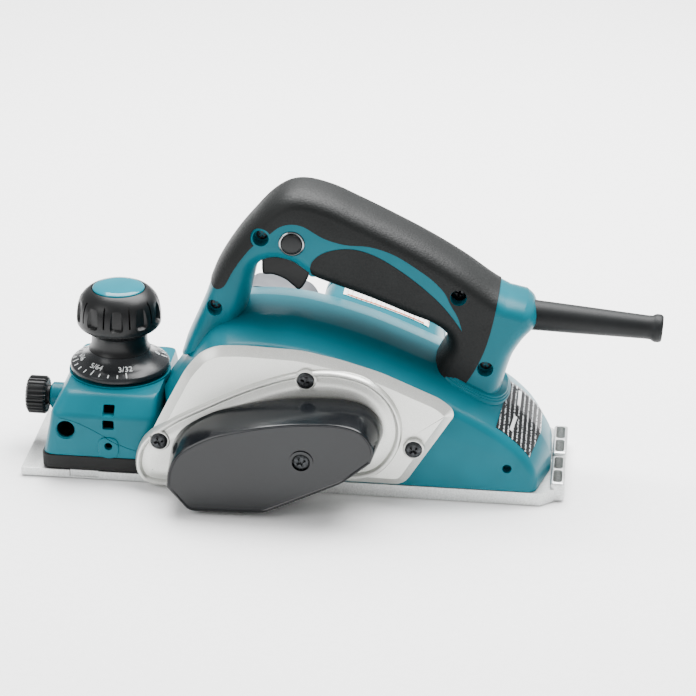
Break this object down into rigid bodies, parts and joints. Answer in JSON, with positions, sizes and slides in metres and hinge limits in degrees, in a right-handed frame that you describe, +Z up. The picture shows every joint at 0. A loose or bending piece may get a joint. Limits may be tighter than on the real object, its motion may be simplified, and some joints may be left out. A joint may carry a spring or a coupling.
{
  "type": "electric hand planer",
  "caption": "Hand-held electric planer with a closed-loop handle, depth knob on the front shoe, belt-driven knife drum and side belt cover.",
  "frame": {"origin": "centre of the rear shoe's sole, on the plane the tool stands on", "axes": "+X towards the cord end along the sole, +Z up from the sole, -Y towards the belt cover"},
  "size_m": [0.3353, 0.1543, 0.1565],
  "materials": {
    "teal_housing": "moulded, satin gloss",
    "black_plastic": "moulded, fine texture",
    "belt_cover_black": "moulded, glossy",
    "grip_rubber": "pebbled soft grip",
    "belt_rubber": "ribbed belt",
    "frame_silver": "die-cast, silver paint",
    "sole_aluminium": "cast, machined",
    "bright_steel": "ground",
    "dark_steel": "black finish",
    "tool_steel": "ground edge",
    "copper": "wound copper and laminations",
    "knob_teal": "polished"
  },
  "bodies": {
    "planer": {"rear_base": "sole_aluminium", "chip_nozzle": "black_plastic", "drum_end_guard": "black_plastic", "switch_body": "black_plastic", "cord_clamp": "black_plastic", "front_housing": "teal_housing", "motor_housing": "teal_housing", "motor_end_cap": "teal_housing", "handle_left": "teal_housing", "handle_right": "teal_housing", "side_frame": "frame_silver", "belt_cover": "belt_cover_black", "grip_left": "grip_rubber", "grip_right": "grip_rubber", "cord_guard": "grip_rubber", "drive_belt": "belt_rubber", "stator": "dark_steel", "carbon_brush_1": "dark_steel", "carbon_brush_2": "dark_steel", "plate_screw_1": "dark_steel", "plate_screw_2": "dark_steel", "plate_screw_3": "dark_steel", "cover_screw": "dark_steel", "handle_screw_1": "dark_steel", "handle_screw_2": "dark_steel", "handle_screw_3": "dark_steel", "handle_screw_4": "dark_steel", "drum_bearing_left": "bright_steel", "drum_bearing_right": "bright_steel", "motor_bearing_left": "bright_steel", "motor_bearing_right": "bright_steel", "button_ring": "bright_steel"},
    "front_shoe": {"front_base": "sole_aluminium", "front_carriage": "black_plastic"},
    "adjuster": {"depth_dial": "black_plastic", "depth_knob": "black_plastic", "knob_cap": "knob_teal", "knob_spindle": "bright_steel"},
    "cutter": {"drum_core": "sole_aluminium", "drum_shaft": "bright_steel", "drum_pulley": "dark_steel", "knife_1": "tool_steel", "knife_2": "tool_steel", "knife_clamp_1": "dark_steel", "knife_clamp_2": "dark_steel", "knife_bolt_1_1": "dark_steel", "knife_bolt_1_2": "dark_steel", "knife_bolt_2_1": "dark_steel", "knife_bolt_2_2": "dark_steel"},
    "rotor": {"motor_shaft": "bright_steel", "rotor_core": "copper", "commutator": "copper", "motor_fan": "black_plastic", "motor_pulley": "dark_steel"},
    "switch_trigger": {"trigger": "black_plastic"},
    "switch_lock": {"lock_button": "black_plastic"},
    "guide_clamp": {"thumb_screw": "black_plastic"}
  },
  "joints": [
    {"name": "depth_knob_turn", "type": "hinge", "parent": "planer", "child": "adjuster", "pos_m": [-0.15893, 0, 0.06], "axis": [0, 0, -1], "range_deg": [0, 300]},
    {"name": "front_shoe_rise", "type": "slide", "parent": "planer", "child": "front_shoe", "axis": [0, 0, 1], "range_m": [0, 0.0025]},
    {"name": "cutter_spin", "type": "hinge", "parent": "planer", "child": "cutter", "pos_m": [-0.09823, 0, 0.0245], "axis": [0, 1, 0], "continuous": true},
    {"name": "rotor_spin", "type": "hinge", "parent": "planer", "child": "rotor", "pos_m": [-0.03423, 0, 0.041], "axis": [0, 1, 0], "continuous": true},
    {"name": "trigger_pull", "type": "slide", "parent": "planer", "child": "switch_trigger", "axis": [0, 0, 1], "range_m": [0, 0.006], "stiffness_N_per_m": 600, "springref_m": -0.003},
    {"name": "lock_button_press", "type": "slide", "parent": "planer", "child": "switch_lock", "axis": [0, 1, 0], "range_m": [0, 0.0035], "stiffness_N_per_m": 500, "springref_m": -0.002},
    {"name": "guide_clamp_turn", "type": "hinge", "parent": "planer", "child": "guide_clamp", "pos_m": [-0.20523, 0, 0.028], "axis": [1, 0, 0], "range_deg": [0, 720]}
  ],
  "couplings": [
    {"joint": "depth_knob_turn", "follows": "front_shoe_rise", "rad_per_m": 2094.4},
    {"joint": "rotor_spin", "follows": "cutter_spin", "ratio": 1.7333}
  ]
}
